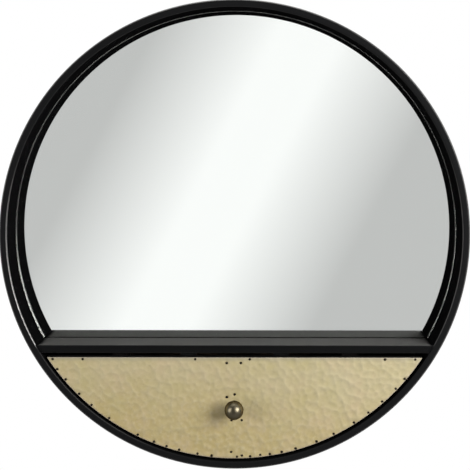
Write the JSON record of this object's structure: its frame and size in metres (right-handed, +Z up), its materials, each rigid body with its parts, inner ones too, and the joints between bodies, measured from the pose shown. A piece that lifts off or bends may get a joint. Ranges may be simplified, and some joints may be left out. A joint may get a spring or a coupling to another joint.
{
  "type": "wall mirror with drawer",
  "caption": "Round wall mirror set back in a black steel hoop, with a narrow shelf across it and a hammered-brass drawer below.",
  "frame": {"origin": "midway between the entry holes of the two keyhole plates, in the plane of the wall", "axes": "+X to the right seen from the front, +Y into the wall, +Z up"},
  "size_m": [0.6, 0.131, 0.6],
  "materials": {
    "black_steel": "satin black powder coat",
    "mirror_glass": "silvered float glass",
    "foam_tape": "double-sided foam tape",
    "rubber_pad": "matte",
    "panel_board": "raw fibreboard",
    "zinc_steel": "zinc plated",
    "stained_wood": "black stain",
    "painted_board": "black paint on fibreboard",
    "hammered_brass": "hammered, pale antique",
    "dark_tack": "dark bronzed",
    "aged_brass": "antique bronze, polished",
    "box_wood": "hardwood stained dark",
    "plywood": "plywood stained dark"
  },
  "bodies": {
    "frame": {"front_hoop": "black_steel", "rear_band": "black_steel", "shelf_tube": "black_steel", "shelf_rear_bar": "black_steel", "mirror_glass": "mirror_glass", "mirror_tape": "foam_tape", "mirror_board": "panel_board", "setting_pads": "rubber_pad", "board_tabs": "black_steel", "board_screws": "zinc_steel", "back_panel": "panel_board", "panel_tabs": "black_steel", "panel_screws": "zinc_steel", "hanger_left": "black_steel", "hanger_right": "black_steel", "runner_left": "black_steel", "runner_right": "black_steel", "kicker_left": "stained_wood", "kicker_right": "stained_wood", "drawer_stops": "black_steel", "stop_screws": "zinc_steel"},
    "drawer": {"front_board": "painted_board", "front_sheet": "hammered_brass", "sheet_tacks": "dark_tack", "knob": "aged_brass", "knob_screw": "zinc_steel", "knob_washer": "zinc_steel", "front_screws": "zinc_steel", "box_front": "box_wood", "box_back": "box_wood", "box_side_left": "box_wood", "box_side_right": "box_wood", "box_bottom": "plywood", "box_pins": "zinc_steel"}
  },
  "joints": [
    {"name": "drawer_slide", "type": "slide", "parent": "frame", "child": "drawer", "axis": [0, -1, 0], "range_m": [0, 0.05]}
  ]
}
